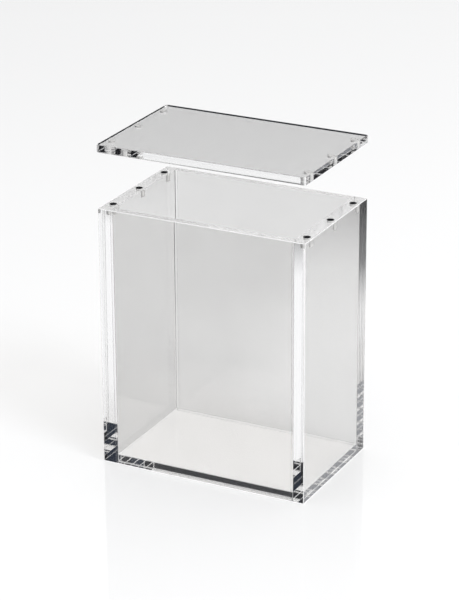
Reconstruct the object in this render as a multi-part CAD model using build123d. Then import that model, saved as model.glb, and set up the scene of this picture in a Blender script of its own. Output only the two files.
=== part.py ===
"""Clear acrylic display case with a lift-off lid held by magnets.

Five cast acrylic panels are glued edge to edge into an open-topped case:
two thick side walls run the full depth, the front and back panels stand
between them, and the base sits between all four.  A flat lid lies on the
case's rim.  Rod magnets in the top edges of the side walls pull on disc
magnets in the underside of the lid.  The lid stands lifted clear of the rim.

Millimetres.  +Z up, front towards -Y, origin at the centre of the underside.
"""

import os

from build123d import *

# overall size of the closed case, without its lid
case_width = 160.0
case_depth = 102.0
case_height = 194.0

# sheet thicknesses: cast sheet sold as 10 mm and 6 mm comes a little thinner
side_thickness = 9.8
front_thickness = 5.8
back_thickness = 5.8
base_thickness = 5.7
lid_thickness = 5.8

# joints and edges
bond_line = 0.1            # film of adhesive between two glued panels
edge_break = 0.4           # bevel on every outer edge of the case
lid_edge_break = 0.4       # bevel round the lid's two faces
lid_corner_radius = 1.0    # rounding of the lid's upright corners

# magnets: rods in the walls, discs in the lid
magnet_diameter = 5.0
wall_magnet_length = 6.0
magnet_edge_break = 0.15
bore_clearance = 0.15      # gap all round a magnet in its bore
bore_end_gap = 0.1         # glue between a magnet and the end of its bore
magnet_recess = 0.15       # how far a magnet lies below the face it sits in
lid_skin = 0.8             # acrylic left over the lid's magnets
end_magnet_inset = 13.2    # from the case's front or back face to the nearest magnet

# how far the lid stands above the rim
lid_lift = 41.2

# derived sizes
inner_width = case_width - 2 * side_thickness
inner_depth = case_depth - front_thickness - back_thickness
panel_width = inner_width - 2 * bond_line
base_depth = inner_depth - 2 * bond_line
bore_radius = magnet_diameter / 2 + bore_clearance
wall_bore_depth = magnet_recess + wall_magnet_length + bore_end_gap
lid_bore_depth = lid_thickness - lid_skin
lid_magnet_length = lid_bore_depth - magnet_recess - bore_end_gap
lid_underside = case_height + lid_lift

# where the magnets stand, seen from above
sides = {"left": -1, "right": 1}
magnet_x = case_width / 2 - side_thickness / 2
magnet_rows = {
    "front": -case_depth / 2 + end_magnet_inset,
    "middle": 0.0,
    "back": case_depth / 2 - end_magnet_inset,
}

UP = (Align.CENTER, Align.CENTER, Align.MIN)
DOWN = (Align.CENTER, Align.CENTER, Align.MAX)


def magnet_spots(side):
    """The plan positions of one side's magnets."""
    return [(sides[side] * magnet_x, y) for y in magnet_rows.values()]


def side_wall(side):
    """Full-depth wall with three blind bores down from its top edge."""
    sign = sides[side]
    inner_x = sign * inner_width / 2
    wall = Pos(sign * magnet_x, 0, 0) * Box(side_thickness, case_depth, case_height, align=UP)
    outer_edges = [e for e in wall.edges() if abs(e.center().X - inner_x) > side_thickness / 4]
    wall = chamfer(outer_edges, edge_break)
    for x, y in magnet_spots(side):
        wall -= Pos(x, y, case_height) * Cylinder(bore_radius, wall_bore_depth, align=DOWN)
    return wall


def cross_panel(thickness, sign):
    """Front (-1) or back (+1) panel, between the side walls and as tall as they are."""
    middle_y = sign * (case_depth - thickness) / 2
    panel = Pos(0, middle_y, 0) * Box(panel_width, thickness, case_height, align=UP)
    outer_edges = panel.edges().filter_by(Axis.X).sort_by(Axis.Y)
    outer_edges = outer_edges[:2] if sign < 0 else outer_edges[-2:]
    return chamfer(outer_edges, edge_break)


def base_panel():
    """Floor of the case, between the four standing panels."""
    middle_y = (front_thickness - back_thickness) / 2
    return Pos(0, middle_y, 0) * Box(panel_width, base_depth, base_thickness, align=UP)


def lid_panel():
    """Flat lid with the case's outline and six blind bores up from its underside."""
    lid = Pos(0, 0, lid_underside) * Box(case_width, case_depth, lid_thickness, align=UP)
    lid = fillet(lid.edges().filter_by(Axis.Z), lid_corner_radius)
    faces = lid.faces().sort_by(Axis.Z)
    lid = chamfer(faces[0].edges() + faces[-1].edges(), lid_edge_break)
    for side in sides:
        for x, y in magnet_spots(side):
            lid -= Pos(x, y, lid_underside) * Cylinder(bore_radius, lid_bore_depth, align=UP)
    return lid


def magnet(length, face_z, align):
    """Plated cylinder magnet standing up or hanging down from face_z."""
    body = Cylinder(magnet_diameter / 2, length, align=align)
    return Pos(0, 0, face_z) * chamfer(body.edges().filter_by(GeomType.CIRCLE), magnet_edge_break)


parts = {
    "side_wall_left": side_wall("left"),
    "side_wall_right": side_wall("right"),
    "front_panel": cross_panel(front_thickness, -1),
    "back_panel": cross_panel(back_thickness, 1),
    "base_panel": base_panel(),
    "lid_panel": lid_panel(),
}

wall_magnet = magnet(wall_magnet_length, case_height - magnet_recess, DOWN)
lid_magnet = magnet(lid_magnet_length, lid_underside + magnet_recess, UP)
for side in sides:
    for row, spot in zip(magnet_rows, magnet_spots(side)):
        parts[f"wall_magnet_{side}_{row}"] = Pos(*spot, 0) * wall_magnet
        parts[f"lid_magnet_{side}_{row}"] = Pos(*spot, 0) * lid_magnet

os.makedirs("parts", exist_ok=True)
for name, shape in parts.items():
    export_step(shape, f"parts/{name}.step")
    print(name, round(shape.volume, 1), "mm3")
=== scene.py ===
# %% [markdown]
# # A clear acrylic display case
#
# The case is five sheets of cast acrylic, glued into a box that is open at
# the top, and a sixth sheet that lies on it as a lid.  Twelve small magnets
# hold the lid.  Nothing here is painted: all that the eye gets is clear
# plastic, its polished edges, its glued corners and a little bright metal.
# So the work goes into true edges, true joints and a studio that is worth
# reflecting.
#
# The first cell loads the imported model.  It gives every size and place below.

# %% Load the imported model
import math

import bpy
import numpy as np
from mathutils import Matrix, Vector


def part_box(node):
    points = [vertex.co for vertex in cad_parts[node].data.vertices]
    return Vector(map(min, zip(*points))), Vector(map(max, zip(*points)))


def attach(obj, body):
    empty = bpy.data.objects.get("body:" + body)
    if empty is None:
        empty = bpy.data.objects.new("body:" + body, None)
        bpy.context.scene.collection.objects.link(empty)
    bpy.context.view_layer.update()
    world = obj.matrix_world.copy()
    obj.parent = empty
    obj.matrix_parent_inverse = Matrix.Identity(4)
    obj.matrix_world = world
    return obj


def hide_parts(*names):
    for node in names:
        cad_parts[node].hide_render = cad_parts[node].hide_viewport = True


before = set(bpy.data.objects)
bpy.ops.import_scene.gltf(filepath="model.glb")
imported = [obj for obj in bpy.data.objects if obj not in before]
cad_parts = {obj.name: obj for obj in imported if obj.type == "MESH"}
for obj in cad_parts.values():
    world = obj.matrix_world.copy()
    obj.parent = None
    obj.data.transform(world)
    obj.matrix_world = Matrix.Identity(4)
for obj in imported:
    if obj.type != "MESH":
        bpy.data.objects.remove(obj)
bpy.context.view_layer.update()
scene = bpy.context.scene
MM = 0.001
print("nodes in the frame:", len(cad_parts))

# %% [markdown]
# ## The camera
#
# A product camera stands far off with a long lens, so that upright edges stay
# nearly parallel.  It looks down on the open case from the front right.  The
# camera could be placed by eye, but it is steadier to give the direction that
# it looks from, the point that it looks at and its distance, and to turn it
# with `to_track_quat`.

# %% Camera
VIEW_AZIMUTH = math.radians(27.08)
VIEW_ELEVATION = math.radians(21.90)
VIEW_ROLL = math.radians(-0.32)
VIEW_DISTANCE = 1.835
AIM = Vector((-0.0060, 0.0053, 0.1181))
SENSOR = 36.0
FOCAL_LENGTH = 154.2
FAR_CLIP = 60.0


def looking_from(azimuth, elevation):
    """Unit vector from the aim towards the eye: the front is -Y, the right is +X."""
    level = math.cos(elevation)
    return Vector((math.sin(azimuth) * level, -math.cos(azimuth) * level, math.sin(elevation)))


def placed(name, data, place, towards, roll=0.0):
    """Puts a camera or lamp at a place, with its -Z axis on the point that it looks towards."""
    thing = bpy.data.objects.new(name, data)
    turn = (place - towards).to_track_quat("Z", "Y").to_matrix().to_4x4()
    thing.matrix_world = Matrix.Translation(place) @ turn @ Matrix.Rotation(roll, 4, "Z")
    scene.collection.objects.link(thing)
    return thing


camera_data = bpy.data.cameras.new("product_camera")
camera_data.sensor_width = SENSOR
camera_data.lens = FOCAL_LENGTH
camera_data.clip_end = FAR_CLIP
eye = AIM + VIEW_DISTANCE * looking_from(VIEW_AZIMUTH, VIEW_ELEVATION)
scene.camera = placed("product_camera", camera_data, eye, AIM, VIEW_ROLL)
print("camera stands at", [round(c, 3) for c in eye])

# %% [markdown]
# ## Words for shader maths
#
# A material is a small sum: mask times depth, one minus mask.  Adding Math
# nodes one by one hides that sum, so one class wraps an output socket and
# turns `+`, `-`, `*` and `/` into Math nodes.  Its `add` method makes any
# other node: first the settings, then the sockets.

# %% A socket that can be used in sums
class Wire:
    """An output socket of a node tree, or with no socket the start of a new chain."""

    def __init__(self, tree, socket=None):
        self.tree = tree
        self.socket = socket

    def add(self, kind, settings=None, inputs=None, output=0):
        """Adds a node of a kind, gives it settings, then sockets, and returns one output."""
        node = self.tree.nodes.new(kind)
        for name, value in (settings or {}).items():
            if name == "stops":
                set_stops(node.color_ramp, value)
            else:
                setattr(node, name, value)
        for name, value in (inputs or {}).items():
            if isinstance(value, Wire):
                self.tree.links.new(value.socket, node.inputs[name])
            else:
                node.inputs[name].default_value = value
        return Wire(self.tree, node.outputs[output])

    def math(self, operation, first, second):
        """One Math node on two wires or numbers."""
        return self.add("ShaderNodeMath", {"operation": operation}, {0: first, 1: second})

    def __add__(self, other):
        return self.math("ADD", self, other)

    def __sub__(self, other):
        return self.math("SUBTRACT", self, other)

    def __rsub__(self, other):
        return self.math("SUBTRACT", other, self)

    def __mul__(self, other):
        return self.math("MULTIPLY", self, other)

    def __truediv__(self, other):
        return self.math("DIVIDE", self, other)

    __radd__ = __add__
    __rmul__ = __mul__


def set_stops(ramp, stops):
    """Gives a colour ramp its stops, each a place and a grey level or a colour."""
    while len(ramp.elements) < len(stops):
        ramp.elements.new(0.5)
    for element, (place, shade) in zip(ramp.elements, stops):
        element.position = place
        element.color = (*shade, 1.0) if isinstance(shade, tuple) else (shade, shade, shade, 1.0)


print("socket sums and ramps are ready")

# %% [markdown]
# ## The studio
#
# Clear plastic has no look of its own: it shows what stands round it.  Product
# studios set it on a pale glossy table under a large soft light, and keep a
# dark surround a little above table height.  Light that is trapped in a sheet
# leaves through its edge either downwards, where it saw the white table, or
# upwards, where it saw that dark surround.  That is where the black and white
# blocks in polished edges come from.
#
# The surround is a ramp on the height of the view ray: pale at the horizon,
# dark above it, bright overhead.  The dark part is nearly black behind the
# case, a little bluer to its right, and only grey on the side of the camera.

# %% Surround
PALE = (0.98, 0.98, 0.98)
DARK_LEFT = (0.022, 0.021, 0.022)
DARK_RIGHT = (0.038, 0.048, 0.068)
GREY_FRONT = (0.34, 0.35, 0.38)
SURROUND_STRENGTH = 0.80
DARK_BAND = [(0.16, 0.0), (0.24, 1.0), (0.54, 1.0), (0.70, 0.0)]

world = bpy.data.worlds.new("soft_studio")
scene.world = world
world.use_nodes = True
sky = Wire(world.node_tree)
axes = {0: sky.add("ShaderNodeTexCoord")}
across = sky.add("ShaderNodeSeparateXYZ", inputs=axes, output="X")
inward = sky.add("ShaderNodeSeparateXYZ", inputs=axes, output="Y")
height = sky.add("ShaderNodeSeparateXYZ", inputs=axes, output="Z")
band = sky.add("ShaderNodeValToRGB", {"stops": DARK_BAND}, {0: height})


def mixed_colour(factor, first, second):
    """Mix node for colours: first where the factor is 0, second where it is 1."""
    inputs = {0: factor}
    for socket, colour in ((6, first), (7, second)):
        inputs[socket] = colour if isinstance(colour, Wire) else (*colour, 1.0)
    return factor.add("ShaderNodeMix", {"data_type": "RGBA"}, inputs, output=2)


print("dark band from", DARK_BAND[0][0], "to", DARK_BAND[-1][0], "of the way up")

# %% [markdown]
# The table is glossy and mirrors the surround too.  A real set has a white
# sheet hung where the table would mirror the dark, so that the table stays
# evenly white.  Here, a ray that has only bounced off the table sees the pale
# tone all round.  The table blurs its reflection a little, and the acrylic
# doesn't, so a glossy ray that isn't a perfect mirror ray came off the table.

# %% Surround as the table sees it
SIDE_SLOPE, SIDE_MIDDLE = 0.8, 0.5
BACK_SLOPE, BACK_MIDDLE = 3.0, 0.8


def ray(start, fact):
    """One output of the Light Path node."""
    return start.add("ShaderNodeLightPath", output=fact)


blurred = ray(sky, "Is Glossy Ray") * (1.0 - ray(sky, "Is Singular Ray"))
off_table = blurred * (1.0 - ray(sky, "Is Transmission Ray"))
behind = mixed_colour(across * SIDE_SLOPE + SIDE_MIDDLE, DARK_LEFT, DARK_RIGHT)
dark_tone = mixed_colour(inward * BACK_SLOPE + BACK_MIDDLE, GREY_FRONT, behind)
surround = mixed_colour(band * (1.0 - off_table), PALE, dark_tone)
backdrop = world.node_tree.nodes["Background"]
backdrop.inputs["Strength"].default_value = SURROUND_STRENGTH
world.node_tree.links.new(surround.socket, backdrop.inputs["Color"])
print("nodes in the surround:", len(world.node_tree.nodes))

# %% [markdown]
# One square soft box to the front right gives the shadow its side and its
# soft edge.  Shadow rays reach it straight through the clear sheets.  A view
# ray that was bent or mirrored on its way could find the box once more and
# count its light twice, so the box is hidden from those rays.

# %% Key light
KEY_PLACE = Vector((5.4, -1.9, 5.8))
KEY_SIZE = 2.4
KEY_POWER = 735.0

key_data = bpy.data.lights.new("key_softbox", "AREA")
key_data.size = KEY_SIZE
key_data.energy = KEY_POWER
key = placed("key_softbox", key_data, KEY_PLACE, AIM)
key.visible_transmission = False
key.visible_glossy = False
print("key light at", list(KEY_PLACE))

# %% [markdown]
# The table is a large glossy white sheet, a hair below the case, so that it
# mirrors the case faintly.  The rims look straight down through the walls at
# what lies under them, and each sheet on that way holds back some light.  A
# white card of the case's own size lies under the case and makes up for it
# with a faint painted glow: it shines by itself, though it is no lamp.

# %% Table and card
TABLE_REACH = 15.0
TABLE_DROP = 0.2 * MM
TABLE_GLOSS = 0.02
TABLE_IOR = 1.45
TABLE_WHITE = (0.80, 0.80, 0.80)
CARD_WHITE = (0.98, 0.98, 0.98)
CARD_PAINTED_GLOW = 0.20
CARD_MATT = 0.6


def flat_sheet(name, low, high, level):
    """Horizontal rectangle on the stage: returns a first wire for its material, and its shader."""
    mesh = bpy.data.meshes.new(name)
    corners = [(low[0], low[1]), (high[0], low[1]), (high[0], high[1]), (low[0], high[1])]
    mesh.from_pydata([(x, y, level) for x, y in corners], [], [(0, 1, 2, 3)])
    sheet = bpy.data.objects.new(name, mesh)
    scene.collection.objects.link(sheet)
    finish = bpy.data.materials.new(name)
    finish.use_nodes = True
    mesh.materials.append(finish)
    return Wire(finish.node_tree), finish.node_tree.nodes["Principled BSDF"]


near_corner, far_corner = (-TABLE_REACH, -TABLE_REACH), (TABLE_REACH, TABLE_REACH)
table_start, table = flat_sheet("white_table", near_corner, far_corner, -TABLE_DROP)
table.inputs["Base Color"].default_value = (*TABLE_WHITE, 1.0)
table.inputs["Roughness"].default_value = TABLE_GLOSS
table.inputs["IOR"].default_value = TABLE_IOR

foot_low, foot_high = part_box("side_wall_left")[0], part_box("side_wall_right")[1]
card = flat_sheet("glowing_white_card", foot_low, foot_high, -TABLE_DROP / 2)[1]
card.inputs["Base Color"].default_value = (*CARD_WHITE, 1.0)
card.inputs["Roughness"].default_value = CARD_MATT
card.inputs["Emission Color"].default_value = (*CARD_WHITE, 1.0)
# The card's emission is a painted glow that stands in for the light the sheets hold back.
card.inputs["Emission Strength"].default_value = CARD_PAINTED_GLOW
print("card in mm:", [round((high - low) / MM) for low, high in zip(foot_low, foot_high)][:2])

# %% [markdown]
# Upright edges mirror the table rather than the surround.  To draw them dark
# too, the table shows a painted black reflection in two patches: close by in
# front on the left, and further off behind on the right.  With x and y from
# the middle of the case, x * y / r^2 is positive in exactly those two
# quarters.  Only a ray that has been mirrored at least once sees the black,
# so the table itself stays clean.  The black is quite matt, or it would mirror
# the pale tone and turn grey, so it is a shader of its own that is mixed over
# the table's.

# %% Painted black reflection that only the edges see
PAINTED_REFLECTION_BLACK = (0.012, 0.012, 0.014)
REFLECTION_QUARTER = [(0.12, 0.0), (0.28, 1.0)]
REFLECTION_BEHIND = [(0.20, 0.0), (0.36, 1.0)]
REFLECTION_IN_FRONT = [(0.03, 0.0), (0.07, 1.0)]

spot = {0: table_start.add("ShaderNodeTexCoord", output="Object")}
spot_x = table_start.add("ShaderNodeSeparateXYZ", inputs=spot, output="X")
spot_y = table_start.add("ShaderNodeSeparateXYZ", inputs=spot, output="Y")
far_squared = spot_x * spot_x + spot_y * spot_y
quarter = {0: spot_x * spot_y / far_squared}
in_quarter = table_start.add("ShaderNodeValToRGB", {"stops": REFLECTION_QUARTER}, quarter)
far_behind = table_start.add("ShaderNodeValToRGB", {"stops": REFLECTION_BEHIND}, {0: far_squared})
far_in_front = table_start.add("ShaderNodeValToRGB", {"stops": REFLECTION_IN_FRONT}, {0: far_squared})
is_behind = table_start.math("GREATER_THAN", spot_y, 0.0)
far_enough = far_behind * is_behind + far_in_front * (1.0 - is_behind)
mirrored = table_start.math("MINIMUM", ray(table_start, "Glossy Depth"), 1.0)
# Mask of the painted black reflection: it holds only for rays mirrored at least once.
on_painted_reflection = far_enough * in_quarter * mirrored
painted_reflection = table_start.add("ShaderNodeBsdfDiffuse", inputs={"Color": (*PAINTED_REFLECTION_BLACK, 1.0)})
bare = Wire(table_start.tree, table.outputs["BSDF"])
covered = table_start.add("ShaderNodeMixShader", inputs={0: on_painted_reflection, 1: bare, 2: painted_reflection})
table_end = table_start.tree.nodes["Material Output"].inputs["Surface"]
table_start.tree.links.new(covered.socket, table_end)
print("nodes in the table:", len(table_start.tree.nodes))

# %% [markdown]
# Clear sheets send a view ray back and forth many times before it leaves, so
# the light paths are allowed many bounces.  The plain sRGB view keeps the
# table white.

# %% Light paths
BOUNCES = 48

scene.view_settings.view_transform = "Standard"
for depth in ("max_bounces", "transmission_bounces", "glossy_bounces", "transparent_max_bounces"):
    setattr(scene.cycles, depth, BOUNCES)
print("light paths of up to", BOUNCES, "bounces")

# %% [markdown]
# ## Cast acrylic
#
# Cast acrylic bends light a little less than window glass.  A dielectric
# shader gives the refraction and the total reflection inside the sheet.  A
# grey tint stands for what the plastic and the two faces hold back, and,
# set differently from sheet to sheet, for painted shade.
#
# A dielectric casts a black shadow unless light paths are traced backwards
# through it, so shadow rays meet a plain see-through shader instead.

# %% Clear acrylic faces
ACRYLIC_IOR = 1.49
SMEAR_DEPTH = 0.03
SMEARS = {"Scale": 38.0, "Detail": 3.0, "Roughness": 0.55}
WARM_GREY = (1.0, 0.997, 0.993)
EDGE_SHADE = (0.99, 0.99, 0.992, 1.0)


def new_finish(name):
    """An empty node material: its first wire and its output's surface socket."""
    finish = bpy.data.materials.new(name)
    finish.use_nodes = True
    finish.node_tree.nodes.clear()
    output = finish.node_tree.nodes.new("ShaderNodeOutputMaterial")
    return finish, Wire(finish.node_tree), output.inputs["Surface"]


def clear_plastic(name, tint, shade, dents=None, blur=0.0, shine=1.0):
    """Dielectric with a see-through side for shadow rays.

    tint and dents are functions of the Object coordinates: the first gives
    the colour, the second a height for the Bump node.  shade is what the
    surface lets through of the key light, blur its roughness, and shine how
    much of a clean surface's mirroring is left.
    """
    finish, start, surface = new_finish(name)
    place = start.add("ShaderNodeTexCoord", output="Object")
    sockets = {
        "Base Color": tint(place),
        "Roughness": blur,
        "IOR": ACRYLIC_IOR,
        "Transmission Weight": 1.0,
        "Specular Tint": (shine, shine, shine, 1.0),
    }
    if dents:
        bump = {"Height": dents(place), "Strength": 1.0, "Distance": 1.0}
        sockets["Normal"] = start.add("ShaderNodeBump", inputs=bump)
    lens = start.add("ShaderNodeBsdfPrincipled", inputs=sockets)
    shade_through = start.add("ShaderNodeBsdfTransparent", inputs={"Color": shade})
    is_shadow = start.add("ShaderNodeLightPath", output="Is Shadow Ray")
    mixed = start.add("ShaderNodeMixShader", inputs={0: is_shadow, 1: lens, 2: shade_through})
    start.tree.links.new(mixed.socket, surface)
    return finish


def clear_face(name, clearness_with_shade, shade):
    """Face finish: clearness is the share of light that the face keeps, lowered or raised sheet by
    sheet as painted shade; shade is the share of the key light.

    A wiping cloth leaves a face very slightly uneven, as soft smears.
    """
    def tone(place):
        cloud = place.add("ShaderNodeTexNoise", inputs={"Vector": place, **SMEARS})
        return mixed_colour(cloud, grey(clearness_with_shade - SMEAR_DEPTH), grey(clearness_with_shade + SMEAR_DEPTH / 2))

    return clear_plastic(name, tone, (*grey(shade), 1.0))


def grey(level):
    """The faintly warm grey of clear sheet, at a level."""
    return tuple(level * share for share in WARM_GREY)


# All six sheets are the same cast acrylic.  Their different tints are painted shade and light: the left
# and back walls are painted darker, the front, base and lid lighter.
faces = {
    "side_wall_left": clear_face("left_sheet_face", 0.785, 0.95),
    "side_wall_right": clear_face("right_sheet_face", 0.87, 0.95),
    "front_panel": clear_face("front_sheet_face", 0.94, 0.98),
    "back_panel": clear_face("back_sheet_face", 0.815, 0.98),
    "base_panel": clear_face("base_sheet_face", 0.985, 0.99),
    "lid_panel": clear_face("lid_sheet_face", 0.965, 0.98),
}
print("clear faces:", len(faces))

# %% [markdown]
# The cut edges are milled and then polished along their length.  The cutter
# leaves them clear, with fine streaks that run the long way: low ripples that
# only vary across the sheet's thickness, and a slightly uneven tone.  A
# streak is a noise that is stretched along two axes, so there is one finish
# for each direction of a sheet's thickness.  A streaked edge mirrors less
# than a clean face, which keeps its black blocks black.
#
# The rims of the case are polished last, by hand, after the magnets are in.
# They stay a little blurred: a magnet just below shows sharply, and what lies
# deep in the wall melts into an even grey.  Their streaks are also tinted a
# little darker than those of the other edges: painted shade.

# %% Polished edges
STREAK_STRETCH = 0.004
STREAK_DEPTH = 0.0015 * MM
STREAK_DARK = (0.86, 0.863, 0.87)
STREAK_LIGHT = (0.96, 0.96, 0.962)
STREAK_STOPS = [(0.36, 0.0), (0.50, 1.0)]
WAVES = {"Scale": 700.0, "Detail": 3.0, "Roughness": 0.6}
EDGE_SHINE = 0.1
# The rims' darker streak tones are painted shade.
RIM_SHADED_DARK = (0.80, 0.80, 0.80)
RIM_SHADED_LIGHT = (0.90, 0.90, 0.90)
RIM_BLUR = 0.2


def streaks(place, flat_axis):
    """Noise that varies across the thickness of a sheet and hardly along its edges."""
    stretch = [STREAK_STRETCH] * 3
    stretch[flat_axis] = 1.0
    along = place.add("ShaderNodeMapping", inputs={"Vector": place, "Scale": stretch})
    return place.add("ShaderNodeTexNoise", inputs={"Vector": along, **WAVES})


def polished(name, flat_axis, dark, light, blur):
    """Finish of a polished cut on a sheet whose thickness runs along flat_axis."""
    def tone(place):
        noise = {0: streaks(place, flat_axis)}
        lines = place.add("ShaderNodeValToRGB", {"stops": STREAK_STOPS}, noise)
        return mixed_colour(lines, dark, light)

    def ripple(place):
        return streaks(place, flat_axis) * STREAK_DEPTH

    return clear_plastic(f"{name}_{'xyz'[flat_axis]}", tone, EDGE_SHADE, ripple, blur, EDGE_SHINE)


edge_looks = (STREAK_DARK, STREAK_LIGHT, 0.0)
rim_looks = (RIM_SHADED_DARK, RIM_SHADED_LIGHT, RIM_BLUR)
polished_edges = [polished("polished_edge", axis, *edge_looks) for axis in range(3)]
polished_rims = [polished("polished_rim", axis, *rim_looks) for axis in range(3)]
print("finishes for cut edges:", [finish.name for finish in polished_edges + polished_rims])

# %% [markdown]
# The outer corners of the case have their sharpness taken off with a scraper:
# the four upright ones and those round the rim.  That narrow round stays matt
# and a little milky, so it draws a bright line.

# %% Scraped corners
def between(noise, ends):
    """Noise from 0 to 1, spread between a lowest and a highest value."""
    return noise * (ends[1] - ends[0]) + ends[0]


ARRIS_TONE = (0.96, 0.96, 0.96, 1.0)
ARRIS_CLEARNESS = 0.4
ARRIS_BLUR = (0.05, 0.35)


def scraped_corner():
    """Milky clear plastic whose roughness drifts along the corner."""
    finish, start, surface = new_finish("scraped_corner")
    place = start.add("ShaderNodeTexCoord", output="Object")
    drift = start.add("ShaderNodeTexNoise", inputs={"Vector": place, "Scale": 90.0, "Detail": 3.0})
    sockets = {
        "Base Color": ARRIS_TONE,
        "Roughness": between(drift, ARRIS_BLUR),
        "IOR": ACRYLIC_IOR,
        "Transmission Weight": ARRIS_CLEARNESS,
    }
    scraped = start.add("ShaderNodeBsdfPrincipled", inputs=sockets)
    start.tree.links.new(scraped.socket, surface)
    return finish


arris = scraped_corner()
print("scraped corners are", ARRIS_CLEARNESS, "clear")

# %% [markdown]
# Where two sheets are glued, solvent has melted them into one: light goes
# straight through the joint and doesn't bend.  If both touching faces kept
# the dielectric shader, the corner would look like two separate sheets with
# air between them.  So a bonded face is nearly invisible: its alpha is close
# to zero, and rises only at the tiny bubbles that a real joint holds.

# %% Bonded faces
BUBBLE_SCALE = 900.0
BUBBLE_ALPHA = 0.35
BUBBLE_TONE = (0.92, 0.93, 0.94, 1.0)
BUBBLE_SIZE = [(0.10, 1.0), (0.18, 0.0)]
BUBBLE_PATCHES = [(0.58, 0.0), (0.70, 1.0)]


def bonded_joint():
    """See-through face with scattered bubbles: small rings of a Voronoi pattern."""
    finish, start, surface = new_finish("bonded_joint")
    place = start.add("ShaderNodeTexCoord", output="Object")
    cells = {"Vector": place, "Scale": BUBBLE_SCALE, "Randomness": 1.0}
    away = start.add("ShaderNodeTexVoronoi", inputs=cells)
    rare = start.add("ShaderNodeTexNoise", inputs={"Vector": place, "Scale": 130.0, "Detail": 2.0})
    near = start.add("ShaderNodeValToRGB", {"stops": BUBBLE_SIZE}, {0: away})
    where = start.add("ShaderNodeValToRGB", {"stops": BUBBLE_PATCHES}, {0: rare})
    sockets = {
        "Base Color": BUBBLE_TONE,
        "Roughness": 0.3,
        "Alpha": near * where * BUBBLE_ALPHA,
    }
    glue_and_painted_shade = start.add("ShaderNodeBsdfPrincipled", inputs=sockets)
    start.tree.links.new(glue_and_painted_shade.socket, surface)
    return finish


joint = bonded_joint()
print("a bubble hides at most", BUBBLE_ALPHA, "of what lies behind it")

# %% [markdown]
# Round its border, a joint shows as a fine line.  Along the base the cement
# has set in a tiny uneven rim, which scatters light and looks white.  In the
# upright joints it has run dry at the border and left a hairline that light
# doesn't cross, which looks dark.

# %% Joint borders
CEMENT_TONE = (0.95, 0.95, 0.95, 1.0)
CEMENT_ALPHA = (0.35, 0.85)
HAIRLINE_TONE = (0.10, 0.10, 0.11, 1.0)
HAIRLINE_ALPHA = (0.6, 1.0)


def joint_border(name, tone, alpha):
    """Matt line, more or less visible in patches along the joint."""
    finish, start, surface = new_finish(name)
    place = start.add("ShaderNodeTexCoord", output="Object")
    patches = start.add("ShaderNodeTexNoise", inputs={"Vector": place, "Scale": 60.0, "Detail": 2.0})
    sockets = {"Base Color": tone, "Roughness": 0.6, "Alpha": between(patches, alpha)}
    border = start.add("ShaderNodeBsdfPrincipled", inputs=sockets)
    start.tree.links.new(border.socket, surface)
    return finish


cement_line = joint_border("cement_line", CEMENT_TONE, CEMENT_ALPHA)
hairline = joint_border("joint_hairline", HAIRLINE_TONE, HAIRLINE_ALPHA)
print("joint borders:", cement_line.name, "and", hairline.name)

# %% [markdown]
# The magnets are potted in clear glue.  Round the open pole of each rod in
# the walls, a near-black collar is painted shade: it stands for the dark gap
# between rod and bore.

# %% Painted shade round the rods
GAP_SHADE_TONE = (0.012, 0.012, 0.013, 1.0)
GAP_SHADE_BLUR = (0.3, 0.6)


def painted_gap_shade():
    """Painted shade of the gap round a rod: nearly black, without a shine, a little uneven."""
    finish, start, surface = new_finish("painted_gap_shade")
    place = start.add("ShaderNodeTexCoord", output="Object")
    grain = start.add("ShaderNodeTexNoise", inputs={"Vector": place, "Scale": 900.0, "Detail": 2.0})
    blur = between(grain, GAP_SHADE_BLUR)
    sockets = {"Base Color": GAP_SHADE_TONE, "Roughness": blur, "Specular IOR Level": 0.0}
    glue_and_painted_shade = start.add("ShaderNodeBsdfPrincipled", inputs=sockets)
    start.tree.links.new(glue_and_painted_shade.socket, surface)
    return finish


painted_shade_collar = painted_gap_shade()
print("glue collar:", painted_shade_collar.name)

# %% [markdown]
# The magnets are nickel-plated.  A rod's open pole face stays a true mirror,
# which looks black where it mirrors the dark surround.  The rest has come out
# of the tumbler satin, and it takes light from all round.  Plating is never
# quite even, so the metal's tone drifts in soft clouds.

# %% Nickel plating
PLATE_DARK = (0.80, 0.795, 0.785)
PLATE_LIGHT = (0.93, 0.928, 0.92)
SATIN_METAL = 0.35
SATIN_BLUR = (0.26, 0.38)


def nickel_plate(name, metallic, blur):
    """Plated metal: its tone drifts in soft clouds, and blur gives the roughness from them."""
    finish, start, surface = new_finish(name)
    place = start.add("ShaderNodeTexCoord", output="Object")
    cloud = start.add("ShaderNodeTexNoise", inputs={"Vector": place, "Scale": 700.0, "Detail": 3.0})
    tone = mixed_colour(cloud, PLATE_DARK, PLATE_LIGHT)
    sockets = {"Base Color": tone, "Metallic": metallic, "Roughness": blur(cloud)}
    metal = start.add("ShaderNodeBsdfPrincipled", inputs=sockets)
    start.tree.links.new(metal.socket, surface)
    return finish


mirror_nickel = nickel_plate("mirror_nickel", 1.0, lambda cloud: 0.0)
satin_nickel = nickel_plate("satin_nickel", SATIN_METAL, lambda cloud: between(cloud, SATIN_BLUR))
print("platings:", mirror_nickel.name, "and", satin_nickel.name)

# %% [markdown]
# ## A sheet of acrylic as a surface
#
# Each sheet is a block with eased edges, and some sheets have blind bores.
# A cube with a Bevel and Boolean cuts would do, but the cuts leave thin
# triangles, and the bevel can't tell a free edge from a glued one.  Here the
# block's skin is a lattice: three lists of grid lines, and a vertex wherever
# two lines cross on a side.  The lines crowd together where an edge turns.
#
# The skin comes as whole arrays.  Every vertex has a key made of its three
# line numbers, so vertices that two sides share are found by their key.

# %% Lattice skin of a block
ROUND_STEPS = 4
RING_STEPS = 16
LINE_DIGITS = 8
TINY = 1e-9


def turn_lines(radius):
    """Distances from a side at which lines cut a quarter turn into even angles."""
    angles = np.linspace(0.0, math.pi / 4, ROUND_STEPS + 1)
    return radius * (1.0 - np.tan(angles))


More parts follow.
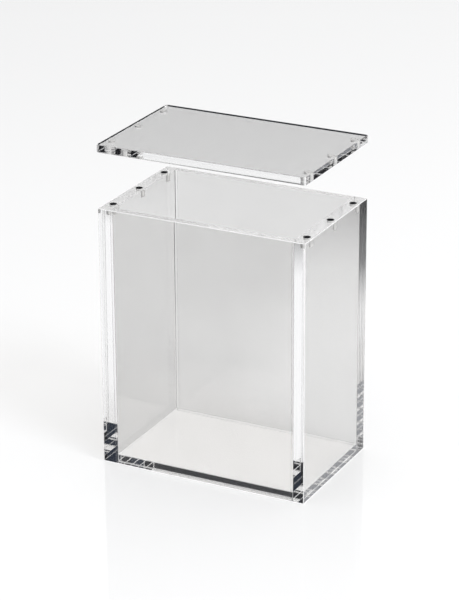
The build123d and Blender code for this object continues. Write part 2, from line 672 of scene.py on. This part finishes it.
def grid_lines(low, high, radii, extra=()):
    """Sorted line positions between two sides, with turns at both and any extra lines."""
    near = [low + turn_lines(r) for r in radii]
    far = [high - turn_lines(r) for r in radii]
    everything = np.concatenate([[low, high], *near, *far, np.asarray(extra, float)])
    return np.unique(np.round(everything, LINE_DIGITS))


def side_quads(lines, axis, end):
    """Vertex keys of all quads on one side of the lattice, anticlockwise from outside."""
    counts = [len(line) for line in lines]
    u, v = (axis + 1) % 3, (axis + 2) % 3
    iu, iv = np.meshgrid(np.arange(counts[u] - 1), np.arange(counts[v] - 1), indexing="ij")
    iu, iv = iu.ravel(), iv.ravel()
    corners = []
    for du, dv in ((0, 0), (1, 0), (1, 1), (0, 1)):
        index = [None, None, None]
        index[axis] = np.full(len(iu), (counts[axis] - 1) * end)
        index[u] = iu + du
        index[v] = iv + dv
        corners.append((index[0] * counts[1] + index[1]) * counts[2] + index[2])
    quads = np.stack(corners, axis=1)
    return quads if end else quads[:, ::-1]


def key_places(lines, keys):
    """Coordinates of vertices from their keys."""
    ny, nz = len(lines[1]), len(lines[2])
    x, y, z = lines[0][keys // (ny * nz)], lines[1][keys // nz % ny], lines[2][keys % nz]
    return np.stack([x, y, z], axis=1)


print("distances that ease a 1 mm edge:", [round(d, 2) for d in turn_lines(1.0)])


# %% [markdown]
# The edges are eased by moving the lattice's own vertices.  Near an edge, a
# vertex has an inward distance and an upward one.  Scaling that pair to the
# length of the radius lays it on the arc.  The upright corners of the lid are
# rounded in the same way, as a square laid onto a quarter disc.

# %% Easing edges and corners
def ease_edges(points, low, high, radius, free):
    """Rounds the top and bottom edges of the free sides.

    With a = radius - distance to the nearest free side and b = radius -
    distance to top or bottom, both at least 0, the point moves to
    (a, b) * radius / length(a, b) where both are above 0.
    """
    inward = np.full(len(points), np.inf)
    for axis, end in free:
        side = (low, high)[end][axis]
        inward = np.minimum(inward, np.abs(points[:, axis] - side))
    middle, half = (low[2] + high[2]) / 2, (high[2] - low[2]) / 2
    rise = points[:, 2] - middle
    a = np.clip(radius - inward, 0.0, radius)
    b = np.clip(np.abs(rise) - (half - radius), 0.0, radius)
    both = (a > TINY) & (b > TINY)
    scale = np.where(both, radius / np.maximum(np.hypot(a, b), TINY), 1.0)
    inset = np.where(a > TINY, radius - a * scale, 0.0)
    moved = points.copy()
    for axis, end in free:
        limit = (low, high)[end][axis]
        if end:
            moved[:, axis] = np.minimum(moved[:, axis], limit - inset)
        else:
            moved[:, axis] = np.maximum(moved[:, axis], limit + inset)
    lifted = np.sign(rise) * (half - radius + b * scale) + middle
    moved[:, 2] = np.where(both, lifted, points[:, 2])
    return moved


def round_corners(points, low, high, radius, corners):
    """Rounds upright corners: the square of side radius there goes onto a quarter disc.

    With a and b the distances past the square's inner corner, each divided
    by the radius, the point scales by max(a, b) / length(a, b).
    """
    moved = points.copy()
    for end_x, end_y in corners:
        side_x, side_y = (low, high)[end_x][0], (low, high)[end_y][1]
        out_x, out_y = 2 * end_x - 1, 2 * end_y - 1
        a = 1.0 - (side_x - points[:, 0]) * out_x / radius
        b = 1.0 - (side_y - points[:, 1]) * out_y / radius
        inside = (a > TINY) & (b > TINY)
        scale = np.where(inside, np.maximum(a, b) / np.maximum(np.hypot(a, b), TINY), 1.0)
        moved[:, 0] = np.where(inside, side_x - out_x * radius * (1.0 - a * scale), moved[:, 0])
        moved[:, 1] = np.where(inside, side_y - out_y * radius * (1.0 - b * scale), moved[:, 1])
    return moved


# %% [markdown]
# A blind bore starts in a square cell of the lattice.  Rings of equal count
# lead from the cell's rim to the circle of the mouth, down the wall and in
# to the centre of the bore's end, which closes in one vertex.

# %% Blind bores
BORE_LIP = 0.1 * MM
COLLAR_DEPTH = 0.5 * MM
BORE_MARGIN = 0.8 * MM


def cell_lines(centre, half):
    """Grid lines across a bore's cell, spaced so that they cut the circle evenly."""
    return centre + half * np.tan(np.linspace(-math.pi / 4, math.pi / 4, RING_STEPS + 1))


def cell_rim(lines, centre, half, top_index):
    """Keys of the vertices round a cell, anticlockwise from its lowest corner."""
    ny, nz = len(lines[1]), len(lines[2])
    i = int(np.argmin(np.abs(lines[0] - (centre[0] - half))))
    j = int(np.argmin(np.abs(lines[1] - (centre[1] - half))))
    run, full = np.arange(RING_STEPS), np.full(RING_STEPS, RING_STEPS)
    rim_i = i + np.concatenate([run, full, full - run, 0 * run])
    rim_j = j + np.concatenate([0 * run, run, full, full - run])
    return (rim_i * ny + rim_j) * nz + top_index


def bore_rings(centre, mouth_z, radius, depth):
    """Rings of a blind bore: lip, collar and wall, then smaller circles on its end."""
    angles = -3 * math.pi / 4 + np.arange(4 * RING_STEPS) * 2 * math.pi / (4 * RING_STEPS)
    around = np.stack([np.cos(angles), np.sin(angles)], axis=1)
    stations = [(radius + BORE_LIP, 0.0), (radius, BORE_LIP), (radius, COLLAR_DEPTH)]
    stations += [(radius, depth - BORE_LIP), (radius - BORE_LIP, depth), (radius / 2, depth)]
    rings = []
    for ring_radius, down in stations:
        level = np.full((len(around), 1), mouth_z - down)
        rings.append(np.hstack([np.asarray(centre) + ring_radius * around, level]))
    return np.array(rings)


def strip(upper, lower):
    """Quads between two closed rings of vertex numbers."""
    return np.stack([upper, np.roll(upper, -1), np.roll(lower, -1), lower], axis=1)


print("vertices round a bore:", 4 * RING_STEPS)

# %% [markdown]
# One function brings the steps together.  It also sorts the faces by finish:
# bonded where they lie in a glued zone or in a bore, whose magnet is potted in
# clear glue, edge or rim where they lie on a cut side, face everywhere else.

# %% A finished sheet
EDGE_EASE = 0.4 * MM
GLUE_REACH = 0.05 * MM
AIR_FILM = 0.03 * MM
LONG_SEAM = 0.6 * MM
END_SEAM = 0.3 * MM
UPRIGHT_SEAM = 0.25 * MM
SNAP = 0.001 * MM
TOP = (2, 1)
FACE, EDGE, RIM, ARRIS, BONDED, CEMENT, HAIRLINE, COLLAR = range(8)


def to_object(name, points, quads, triangles, finishes, numbers):
    """Mesh object from arrays: numbers gives each face its place in the list of finishes."""
    mesh = bpy.data.meshes.new(name)
    mesh.from_pydata(points.tolist(), [], quads.tolist() + triangles.tolist())
    for finish in finishes:
        mesh.materials.append(finish)
    mesh.polygons.foreach_set("material_index", np.asarray(numbers, dtype=np.int32))
    mesh.update()
    piece = bpy.data.objects.new(name, mesh)
    scene.collection.objects.link(piece)
    return piece


def close_to(points, low, high, side, reach):
    """Which points lie within reach of a side (axis, end) of the box."""
    axis, end = side
    return np.abs(points[:, axis] - (low, high)[end][axis]) < reach


def on_arris(points, low, high, corner, open_sides):
    """Which points lie on a scraped corner: close to two open sides."""
    close = [close_to(points, low, high, side, corner) for side in open_sides]
    return np.sum(close, axis=0) >= 2


def zone_borders(zone):
    """Grid lines for a glued zone on each axis: its borders, and those inside its seam."""
    low, high, seam_width, _ = zone
    return [[low[a], low[a] + seam_width, high[a] - seam_width, high[a]] for a in range(3)]


def within(points, zone, reach, inset=0.0):
    """Which points lie in a glued zone: no further than reach outside, inset from its borders."""
    low, high = (np.asarray(corner_point) for corner_point in zone[:2])
    thin = high - low < GLUE_REACH
    low = np.where(thin, low - reach, low + inset - (inset == 0.0) * reach)
    high = np.where(thin, high + reach, high - inset + (inset == 0.0) * reach)
    return ((points > low) & (points < high)).all(axis=1)


def acrylic_sheet(
    node, flat_axis, free, glued=(), bores=(), bore=None, corner=EDGE_EASE, flip=False
):
    """Sheet in the box of a CAD node.

    flat_axis is the axis through the sheet's thickness.  free lists the
    sides (axis, end) whose edges are eased, glued the zones that are bonded,
    bores the bore centres and bore their (radius, depth).  flip drills from
    below, and lifts the underside by the film of air that it rests on.
    """
    low, high = (np.array(corner_point) for corner_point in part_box(node))
    low[2] += AIR_FILM * flip
    borders = [zone_borders(zone) for zone in glued]
    marks = [[m for zone in borders for m in zone[a] if low[a] < m < high[a]] for a in range(3)]
    half_cell = 0.0
    if bores:
        half_cell = bore[0] + BORE_MARGIN
        for axis in (0, 1):
            centres = sorted({round(spot[axis], 7) for spot in bores})
            marks[axis] = np.concatenate([marks[axis], *[cell_lines(c, half_cell) for c in centres]])
    radii = [EDGE_EASE, corner]
    lines = [grid_lines(low[a], high[a], radii if a < 2 else [EDGE_EASE], marks[a]) for a in range(3)]

    sides, owners = [], []
    for axis in range(3):
        for end in (0, 1):
            quads = side_quads(lines, axis, end)
            if axis == 2 and end == 1:
                middles = key_places(lines, quads.ravel()).reshape(-1, 4, 3).mean(axis=1)
                for spot in bores:
                    away = np.abs(middles[:, :2] - np.asarray(spot)).max(axis=1)
                    quads, middles = quads[away > half_cell], middles[away > half_cell]
            sides.append(quads)
            owners.append(np.full(len(quads), axis))
    rims = [cell_rim(lines, spot, half_cell, len(lines[2]) - 1) for spot in bores]
    keys, flat = np.unique(np.concatenate(sides).ravel(), return_inverse=True)
    quads = flat.reshape(-1, 4)
    owners = np.concatenate(owners)
    points = key_places(lines, keys)

    middles = points[quads].mean(axis=1)
    numbers = np.where(owners == flat_axis, FACE, EDGE)
    scraped = free
    if not flip:
        scraped = [*free, TOP]
        numbers[(numbers == EDGE) & close_to(middles, low, high, TOP, SNAP)] = RIM
    numbers[on_arris(middles, low, high, corner, scraped)] = ARRIS
    for zone in glued:
        seam_width, border = zone[2:]
        numbers[within(middles, zone, GLUE_REACH)] = border
        numbers[within(middles, zone, GLUE_REACH, seam_width)] = BONDED

    points = ease_edges(points, low, high, EDGE_EASE, free)
    upright = [(x, y) for x in (0, 1) for y in (0, 1) if (0, x) in free and (1, y) in free]
    points = round_corners(points, low, high, corner, upright)

    fans = []
    for spot, rim in zip(bores, rims):
        rings = bore_rings(spot, high[2], *bore)
        first = len(points)
        ring_numbers = first + np.arange(rings.shape[0] * rings.shape[1]).reshape(rings.shape[:2])
        pole = first + ring_numbers.size
        end_z = rings[-1, 0, 2]
        points = np.vstack([points, rings.reshape(-1, 3), [[*spot, end_z]]])
        chain = [np.searchsorted(keys, rim), *ring_numbers]
        bands = [strip(upper, lower) for upper, lower in zip(chain, chain[1:])]
        # In a wall bore, the lip and the top of the bore wall carry the painted shade of the gap round
        # the rod.
        first_bands = [FACE] if flip else [RIM, COLLAR, COLLAR]
        kinds = first_bands + [BONDED] * (len(bands) - len(first_bands))
        quads = np.vstack([quads, *bands])
        numbers = np.concatenate([numbers, np.repeat(kinds, 4 * RING_STEPS)])
        last = chain[-1]
        fans.append(np.stack([last, np.roll(last, -1), np.full(len(last), pole)], axis=1))
    triangles = np.vstack(fans) if fans else np.zeros((0, 3), int)
    if flip:
        points[:, 2] = low[2] + high[2] - points[:, 2]
        quads, triangles = quads[:, ::-1], triangles[:, ::-1]
    numbers = np.concatenate([numbers, np.full(len(triangles), BONDED)])
    face = next(finish for kind, finish in faces.items() if node.startswith(kind))
    finishes = [face, polished_edges[flat_axis], polished_rims[flat_axis], arris]
    finishes += [joint, cement_line, hairline, painted_shade_collar]
    piece = to_object(node + "_sheet", points, quads, triangles, finishes, numbers)
    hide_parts(node)
    print(f"{piece.name}: {len(points)} vertices, {len(quads) + len(triangles)} faces")
    return piece


# %% [markdown]
# ## The case
#
# The two side walls run the full depth.  Front, back and base are glued
# between them.  The glued zones are read from the boxes of the neighbours, so
# they follow the model.

# %% Where the magnets stand
RUNNING_GAP = 0.05 * MM
END_GAP = 0.1 * MM
ROWS = ("front", "middle", "back")


def magnet_box(kind, side, row):
    """Lowest and highest corner of one magnet."""
    return [np.array(corner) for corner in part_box(f"{kind}_magnet_{side}_{row}")]


def magnet_spots(kind, side):
    """Plan positions of one side's three magnets, front to back."""
    boxes = [magnet_box(kind, side, row) for row in ROWS]
    return [tuple(((low + high) / 2)[:2]) for low, high in boxes]


def bore_for(kind, mouth_z):
    """Radius and depth of the bore that holds a magnet of that kind."""
    low, high = magnet_box(kind, "left", "front")
    radius = (high[0] - low[0]) / 2 + RUNNING_GAP
    depth = max(abs(mouth_z - low[2]), abs(mouth_z - high[2])) + END_GAP
    return radius, depth


wall_bore = bore_for("wall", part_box("side_wall_left")[1][2])
lid_bore = bore_for("lid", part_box("lid_panel")[0][2])
print("wall bore radius and depth in mm:", [round(v / MM, 2) for v in wall_bore])

# %% Glue and build the five standing panels
ALL_SIDES = [(0, 0), (0, 1), (1, 0), (1, 1)]
BETWEEN_WALLS = ("front_panel", "back_panel", "base_panel")


def contact(node, axis, end):
    """Zone of a node's own side: a thin box, the width of its seam and the seam's finish."""
    low, high = (np.array(c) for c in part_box(node))
    side = (low, high)[end][axis]
    low[axis] = high[axis] = side
    if node == "base_panel":
        return low, high, (END_SEAM, LONG_SEAM)[axis], CEMENT
    return low, high, UPRIGHT_SEAM, HAIRLINE


def onto(zone, axis, place):
    """The same zone, shifted along its thin axis onto the neighbour's face."""
    low, high = zone[0].copy(), zone[1].copy()
    low[axis] = high[axis] = place
    return low, high, *zone[2:]


case_pieces = []
for side, end in (("left", 0), ("right", 1)):
    node = f"side_wall_{side}"
    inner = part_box(node)[1 - end][0]
    touching = [onto(contact(panel, 0, end), 0, inner) for panel in BETWEEN_WALLS]
    free = [(0, end), (1, 0), (1, 1)]
    wall = acrylic_sheet(node, 0, free, touching, magnet_spots("wall", side), wall_bore)
    case_pieces.append(wall)

for node, end in (("front_panel", 0), ("back_panel", 1)):
    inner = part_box(node)[1 - end][1]
    touching = [contact(node, 0, 0), contact(node, 0, 1)]
    touching.append(onto(contact("base_panel", 1, end), 1, inner))
    case_pieces.append(acrylic_sheet(node, 1, [(1, end)], touching))

base_contacts = [contact("base_panel", axis, end) for axis, end in ALL_SIDES]
case_pieces.append(acrylic_sheet("base_panel", 2, [], base_contacts))
for piece in case_pieces:
    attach(piece, "case")

# %% [markdown]
# ## The lid
#
# The lid is free on all four sides.  Its bores come up from below and stop
# just short of the top face.

# %% Lid
LID_CORNER = 1.0 * MM
lid_spots = magnet_spots("lid", "left") + magnet_spots("lid", "right")
lid = acrylic_sheet("lid_panel", 2, ALL_SIDES, (), lid_spots, lid_bore, LID_CORNER, flip=True)
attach(lid, "lid")

# %% [markdown]
# ## The magnets
#
# A magnet is a turned shape: a profile carried round its axis.  The tumbled
# rim is a small arc, which is what catches the light.

# %% Turned magnets
MAGNET_RIM = {"wall": 0.04 * MM, "lid": 0.25 * MM}
POLE_MARGIN = 0.01
RIM_STEPS = 5
AROUND = 72


def turned_profile(radius, low, high, rim):
    """Radius and height along a rod's outline, from the low centre to the high centre."""
    quarter = np.linspace(0.0, math.pi / 2, RIM_STEPS)
    lower = np.stack([radius - rim + rim * np.sin(quarter), low + rim - rim * np.cos(quarter)], axis=1)
    upper = np.stack([radius - rim + rim * np.cos(quarter), high - rim + rim * np.sin(quarter)], axis=1)
    inner = radius / 2
    return np.vstack([[inner, low], lower, upper, [inner, high]])


def turned_rod(centre, radius, low, high, rim):
    """Surface of revolution: point = centre + (r cos t, r sin t, z), closed by two poles."""
    profile = turned_profile(radius, low, high, rim)
    angle = np.arange(AROUND) * 2 * math.pi / AROUND
    ring_radius, level = profile[:, :1], profile[:, 1:]
    x = centre[0] + ring_radius * np.cos(angle)
    y = centre[1] + ring_radius * np.sin(angle)
    z = level + 0 * angle
    points = np.stack([x, y, z], axis=2).reshape(-1, 3)
    rings = np.arange(len(points)).reshape(len(profile), AROUND)
    quads = np.vstack([strip(upper, lower)[:, ::-1] for upper, lower in zip(rings, rings[1:])])
    poles = len(points) + np.arange(2)
    points = np.vstack([points, [*centre, low], [*centre, high]])
    first, last = rings[0], rings[-1]
    bottom = np.stack([np.roll(first, -1), first, np.full(AROUND, poles[0])], axis=1)
    top = np.stack([last, np.roll(last, -1), np.full(AROUND, poles[1])], axis=1)
    return points, quads[:, ::-1], np.vstack([bottom, top])


def magnet(kind, side, row, body):
    """One plated magnet in the place of its CAD node, a mirror where it lies open."""
    node = f"{kind}_magnet_{side}_{row}"
    low, high = magnet_box(kind, side, row)
    centre = tuple(((low + high) / 2)[:2])
    radius = (high[0] - low[0]) / 2
    rim = MAGNET_RIM[kind]
    points, quads, triangles = turned_rod(centre, radius, low[2], high[2], rim)
    lowest = np.concatenate([points[quads, 2].min(axis=1), points[triangles, 2].min(axis=1)])
    on_pole = lowest > high[2] - rim * POLE_MARGIN
    on_rim = (lowest > high[2] - rim * (1 + POLE_MARGIN)) & ~on_pole
    shiny = on_rim | on_pole if kind == "wall" else on_rim
    finishes = [satin_nickel, mirror_nickel]
    piece = to_object(node + "_plated", points, quads, triangles, finishes, shiny)
    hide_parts(node)
    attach(piece, body)
    return piece


for side in ("left", "right"):
    for row in ROWS:
        magnet("wall", side, row, "case")
        magnet("lid", side, row, "lid")
print("twelve magnets")
